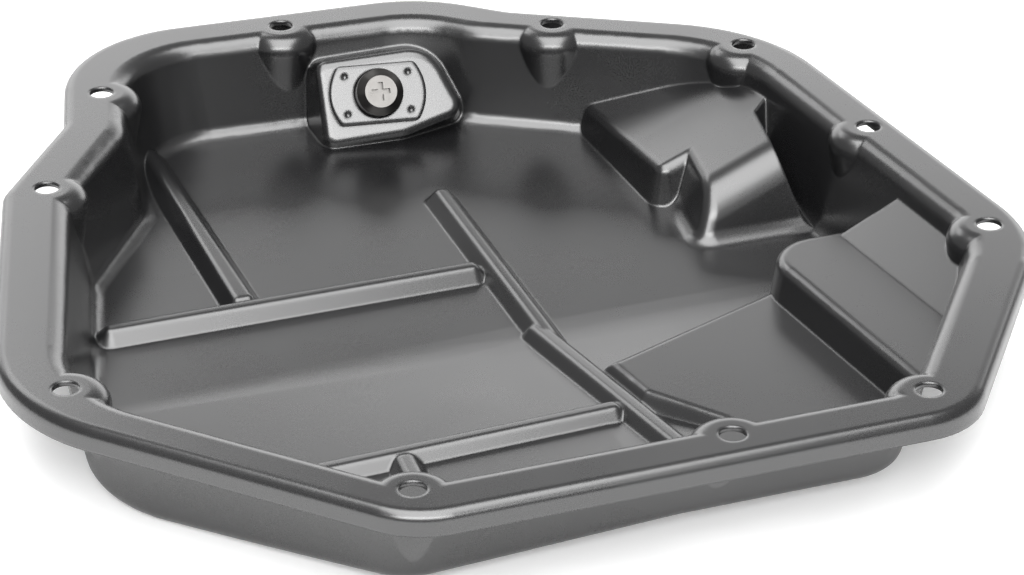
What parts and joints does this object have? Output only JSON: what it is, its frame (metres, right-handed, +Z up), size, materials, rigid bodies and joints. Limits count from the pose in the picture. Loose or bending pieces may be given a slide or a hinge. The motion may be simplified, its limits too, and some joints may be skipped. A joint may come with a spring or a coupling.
{
  "type": "engine oil pan",
  "caption": "Shallow pressed steel oil pan with a rolled flange, a beaded bottom, raised platforms and a slanting drain boss with its screw plug.",
  "frame": {"origin": "centre of the pan's bounding box, at its lowest point", "axes": "+Z up out of the open side, +Y towards the wall with the drain boss, +X to the right seen from the front"},
  "size_m": [0.28, 0.2876, 0.0349],
  "materials": {
    "black_coat": "satin black coating on pressed steel",
    "plug_steel": "plated steel",
    "washer_metal": "plain soft metal"
  },
  "bodies": {
    "pan": {"oil_pan": "black_coat", "drain_nut_plate": "black_coat"},
    "washer": {"drain_plug_washer": "washer_metal"},
    "plug": {"drain_plug": "plug_steel"}
  },
  "joints": [
    {"name": "washer_back_off", "type": "slide", "parent": "pan", "child": "washer", "axis": [0.1355, 0.8554, -0.5], "range_m": [0, 0.00975]},
    {"name": "plug_turn", "type": "hinge", "parent": "washer", "child": "plug", "pos_m": [0.00924, 0.10781, 0.01937], "axis": [0.1355, 0.8554, -0.5], "range_deg": [0, 2430]}
  ],
  "couplings": [
    {"joint": "plug_turn", "follows": "washer_back_off", "rad_per_m": 4188.8}
  ]
}
